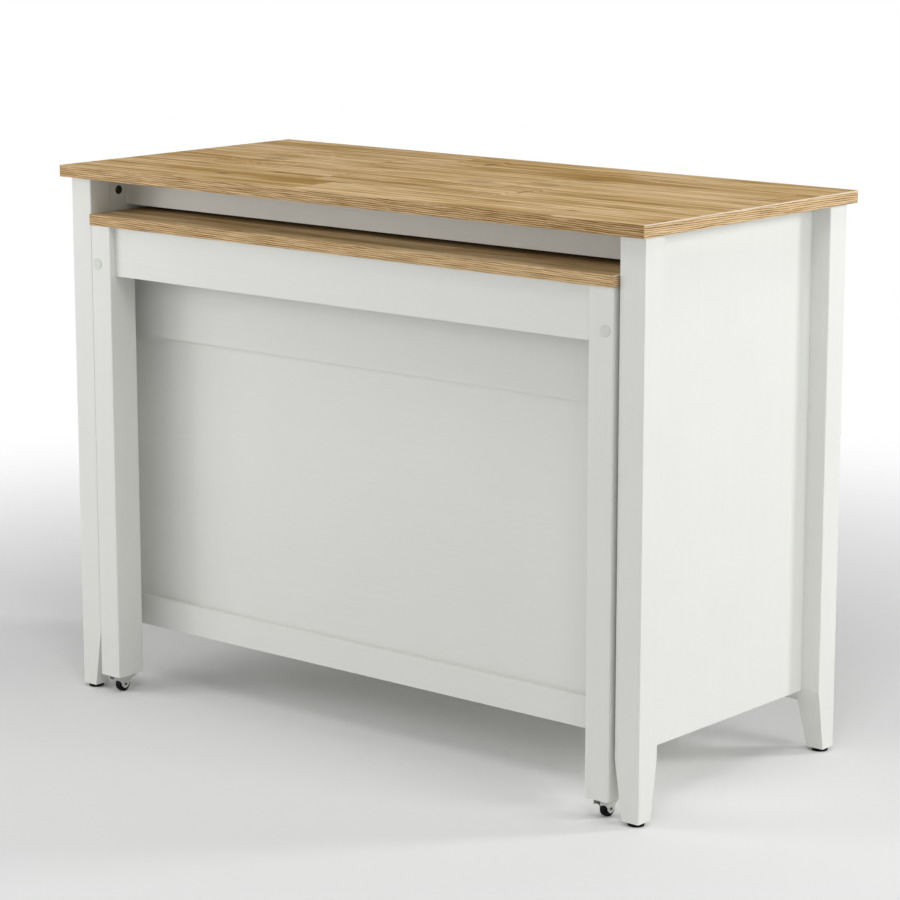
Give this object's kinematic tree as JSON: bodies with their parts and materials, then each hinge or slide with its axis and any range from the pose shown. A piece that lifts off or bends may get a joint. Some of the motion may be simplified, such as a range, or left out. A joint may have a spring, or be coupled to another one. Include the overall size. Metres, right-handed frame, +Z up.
{
  "type": "sewing table",
  "caption": "Cabinet sewing table on tapered posts, with open shelves and a pull-out leaf on ball-bearing slides and caster legs.",
  "frame": {"origin": "on the floor, under the middle of the main top's outline", "axes": "+X along the width, -Y towards the side the leaf pulls out of, +Z up"},
  "size_m": [1.2, 0.55, 0.892],
  "materials": {
    "white_paint": "satin white paint on board and solid wood",
    "oak_laminate": "satin oak-look laminate with grain along the width",
    "beech_dowel": "bare beech",
    "zinc_steel": "zinc-plated pressed steel",
    "black_plastic": "black moulded plastic",
    "white_plastic": "white moulded plastic",
    "dark_zinc": "dark coated zinc castings and rivets"
  },
  "bodies": {
    "cabinet": {"main_top": "oak_laminate", "post_front_left": "white_paint", "post_front_right": "white_paint", "post_rear_left": "white_paint", "post_rear_right": "white_paint", "side_panel_left": "white_paint", "side_panel_right": "white_paint", "cross_rail": "white_paint", "closing_rail_upper": "white_paint", "closing_rail_lower": "white_paint", "closing_panel": "white_paint", "rear_fascia": "white_paint", "toe_rail": "white_paint", "deck": "white_paint", "bottom_board": "white_paint", "centre_divider": "white_paint", "shelf_left": "white_paint", "shelf_right": "white_paint", "shelf_pins": "zinc_steel", "floor_glides": "black_plastic", "cam_locks": "dark_zinc", "cam_bolts": "zinc_steel", "dowels": "beech_dowel", "top_brackets": "zinc_steel", "top_bracket_screws": "zinc_steel", "slide_outer_left": "zinc_steel", "slide_outer_right": "zinc_steel", "slide_panel_screws": "zinc_steel"},
    "leaf": {"leaf_top": "oak_laminate", "leaf_leg_left": "white_paint", "leaf_leg_right": "white_paint", "leaf_apron": "white_paint", "leaf_side_rail_left": "white_paint", "leaf_side_rail_right": "white_paint", "leaf_rear_rail": "white_paint", "leaf_batten": "white_paint", "leaf_dowels": "beech_dowel", "leg_bolts": "zinc_steel", "barrel_nuts": "zinc_steel", "cover_caps": "white_plastic", "leaf_brackets": "zinc_steel", "leaf_bracket_screws": "zinc_steel", "slide_inner_left": "zinc_steel", "slide_inner_right": "zinc_steel", "slide_rail_screws": "zinc_steel", "caster_bracket_left": "zinc_steel", "caster_bracket_right": "zinc_steel", "caster_axle_left": "dark_zinc", "caster_axle_right": "dark_zinc", "caster_screws": "zinc_steel"},
    "slide_middle_left": {"slide_middle_left": "zinc_steel"},
    "cage_outer_left": {"cage_outer_left": "zinc_steel"},
    "cage_inner_left": {"cage_inner_left": "zinc_steel"},
    "caster_wheel_left": {"caster_wheel_left": "black_plastic"},
    "slide_middle_right": {"slide_middle_right": "zinc_steel"},
    "cage_outer_right": {"cage_outer_right": "zinc_steel"},
    "cage_inner_right": {"cage_inner_right": "zinc_steel"},
    "caster_wheel_right": {"caster_wheel_right": "black_plastic"}
  },
  "joints": [
    {"name": "leaf_pull", "type": "slide", "parent": "cabinet", "child": "leaf", "axis": [0, -1, 0], "range_m": [0, 0.4]},
    {"name": "cage_outer_left_travel", "type": "slide", "parent": "cabinet", "child": "cage_outer_left", "axis": [0, -1, 0], "range_m": [0, 0.1]},
    {"name": "slide_middle_left_travel", "type": "slide", "parent": "cabinet", "child": "slide_middle_left", "axis": [0, -1, 0], "range_m": [0, 0.2]},
    {"name": "cage_inner_left_travel", "type": "slide", "parent": "cabinet", "child": "cage_inner_left", "axis": [0, -1, 0], "range_m": [0, 0.3]},
    {"name": "caster_wheel_left_spin", "type": "hinge", "parent": "leaf", "child": "caster_wheel_left", "pos_m": [-0.517, -0.236, 0.0125], "axis": [1, 0, 0], "continuous": true},
    {"name": "cage_outer_right_travel", "type": "slide", "parent": "cabinet", "child": "cage_outer_right", "axis": [0, -1, 0], "range_m": [0, 0.1]},
    {"name": "slide_middle_right_travel", "type": "slide", "parent": "cabinet", "child": "slide_middle_right", "axis": [0, -1, 0], "range_m": [0, 0.2]},
    {"name": "cage_inner_right_travel", "type": "slide", "parent": "cabinet", "child": "cage_inner_right", "axis": [0, -1, 0], "range_m": [0, 0.3]},
    {"name": "caster_wheel_right_spin", "type": "hinge", "parent": "leaf", "child": "caster_wheel_right", "pos_m": [0.517, -0.236, 0.0125], "axis": [1, 0, 0], "continuous": true}
  ],
  "couplings": [
    {"joint": "cage_outer_left_travel", "follows": "leaf_pull", "ratio": 0.25},
    {"joint": "slide_middle_left_travel", "follows": "leaf_pull", "ratio": 0.5},
    {"joint": "cage_inner_left_travel", "follows": "leaf_pull", "ratio": 0.75},
    {"joint": "cage_outer_right_travel", "follows": "leaf_pull", "ratio": 0.25},
    {"joint": "slide_middle_right_travel", "follows": "leaf_pull", "ratio": 0.5},
    {"joint": "cage_inner_right_travel", "follows": "leaf_pull", "ratio": 0.75}
  ]
}
